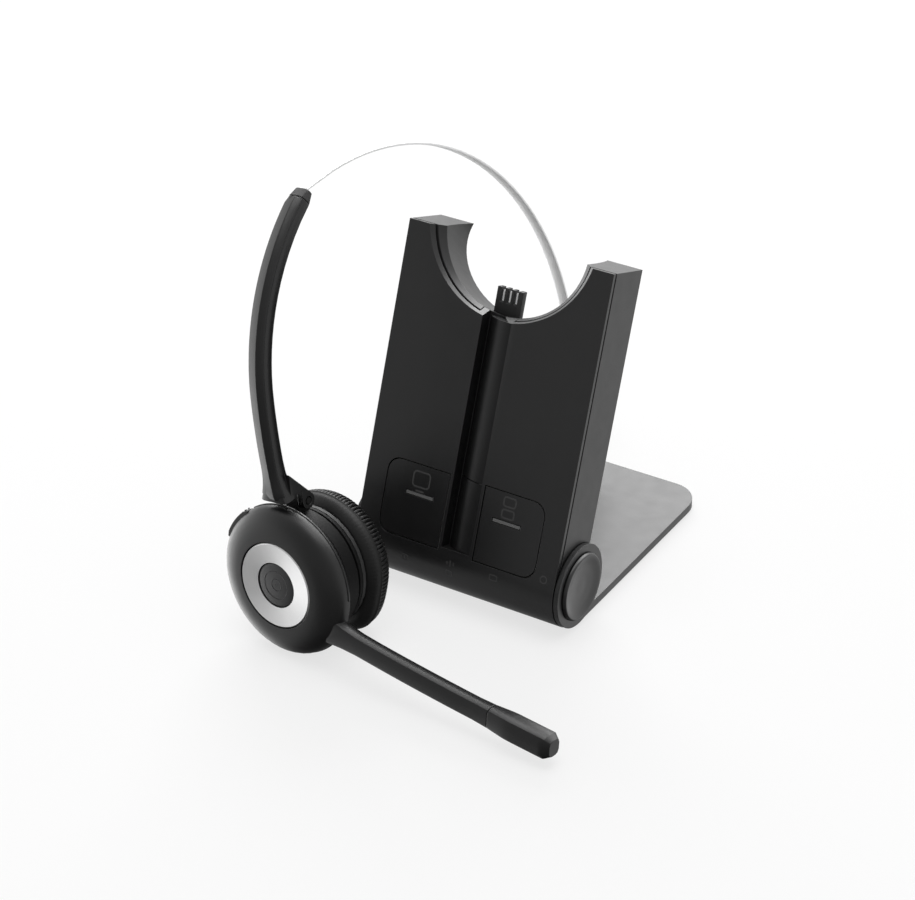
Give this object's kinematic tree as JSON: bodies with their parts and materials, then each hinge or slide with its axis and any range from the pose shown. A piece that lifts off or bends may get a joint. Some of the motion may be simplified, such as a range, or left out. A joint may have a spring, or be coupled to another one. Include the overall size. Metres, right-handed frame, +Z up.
{
  "type": "office headset with charging stand",
  "caption": "One-ear wireless office headset with boom and sprung headband, standing round its folding charging stand with cradle and call keys.",
  "frame": {"origin": "centre of the anti-slip mat's underside, on the desk", "axes": "+Z up, +X to the right across the stand, +Y from the stand's front to its back"},
  "size_m": [0.1417, 0.186, 0.1558],
  "materials": {
    "casing_plastic": "fine satin, black",
    "fascia_plastic": "satin, black",
    "key_plastic": "smooth, black",
    "bar_lens": "pale, frosted",
    "inner_plastic": "plain, black",
    "board": "laminate",
    "steel": "plated",
    "band_steel": "bright sprung steel",
    "mat_rubber": "matt",
    "headset_plastic": "satin, black",
    "button_plastic": "fine turned lines",
    "ring_metal": "satin silver",
    "cushion_leatherette": "soft, gathered"
  },
  "bodies": {
    "stand": {"stand_shell": "casing_plastic", "front_fascia": "fascia_plastic", "left_key_switch": "inner_plastic", "right_key_switch": "inner_plastic", "stand_board": "board", "charge_post": "inner_plastic", "contact_blade_1": "steel", "contact_blade_2": "steel", "contact_blade_3": "steel", "usb_socket": "steel", "casing_screw_1": "steel", "casing_screw_2": "steel", "casing_screw_3": "steel", "casing_screw_4": "steel"},
    "left_key": {"left_call_key": "key_plastic", "left_key_bar": "bar_lens"},
    "right_key": {"right_call_key": "key_plastic", "right_key_bar": "bar_lens"},
    "foot": {"foot_plate": "casing_plastic", "anti_slip_mat": "mat_rubber", "pivot_cap_left": "casing_plastic", "pivot_cap_right": "casing_plastic", "hinge_pin_left": "steel", "hinge_pin_right": "steel", "hinge_washer_left": "steel", "hinge_washer_right": "steel"},
    "headband": {"headband_arm": "headset_plastic", "arm_cover": "headset_plastic", "strip_guide": "inner_plastic", "tilt_pin": "steel"},
    "band_strip": {"headband_strip": "band_steel", "strip_stop": "inner_plastic", "temple_bar": "inner_plastic", "temple_pad": "cushion_leatherette"},
    "neck": {"neck_ring": "inner_plastic"},
    "cup": {"outer_cap": "headset_plastic", "mic_housing": "headset_plastic", "mic_capsule": "steel", "trim_ring": "ring_metal", "cup_housing": "headset_plastic", "headset_board": "board", "answer_switch": "inner_plastic", "battery": "steel", "speaker_magnet": "steel", "speaker_frame": "inner_plastic", "cushion_plate": "inner_plastic", "ear_cushion": "cushion_leatherette"},
    "answer": {"answer_button": "button_plastic"},
    "volume": {"volume_key": "headset_plastic"}
  },
  "joints": [
    {"name": "foot_fold", "type": "hinge", "parent": "stand", "child": "foot", "pos_m": [0, -0.0515, 0.016], "axis": [1, 0, 0], "range_deg": [0, 64]},
    {"name": "left_key_press", "type": "slide", "parent": "stand", "child": "left_key", "axis": [0, 0.9308, -0.3655], "range_m": [0, 0.0006], "stiffness_N_per_m": 800},
    {"name": "right_key_press", "type": "slide", "parent": "stand", "child": "right_key", "axis": [0, 0.9308, -0.3655], "range_m": [0, 0.0006], "stiffness_N_per_m": 800},
    {"name": "headset_lift", "type": "slide", "parent": "stand", "child": "headband", "axis": [0, 0, 1], "range_m": [0, 0.2]},
    {"name": "headband_adjust", "type": "slide", "parent": "headband", "child": "band_strip", "axis": [-0.0471, 0.7373, 0.674], "range_m": [0, 0.02]},
    {"name": "cup_tilt", "type": "hinge", "parent": "headband", "child": "neck", "pos_m": [-0.04118, -0.10037, 0.05316], "axis": [0.9805, -0.0949, 0.1723], "range_deg": [-10, 10]},
    {"name": "boom_swivel", "type": "hinge", "parent": "neck", "child": "cup", "pos_m": [-0.0387, -0.1195, 0.0285], "axis": [-0.1171, -0.9853, 0.1241], "range_deg": [-215, 75]},
    {"name": "answer_press", "type": "slide", "parent": "cup", "child": "answer", "axis": [0.1171, 0.9853, -0.1241], "range_m": [0, 0.0006], "stiffness_N_per_m": 800},
    {"name": "volume_press", "type": "slide", "parent": "cup", "child": "volume", "axis": [0.8248, -0.1661, -0.5404], "range_m": [0, 0.0005], "stiffness_N_per_m": 800}
  ]
}
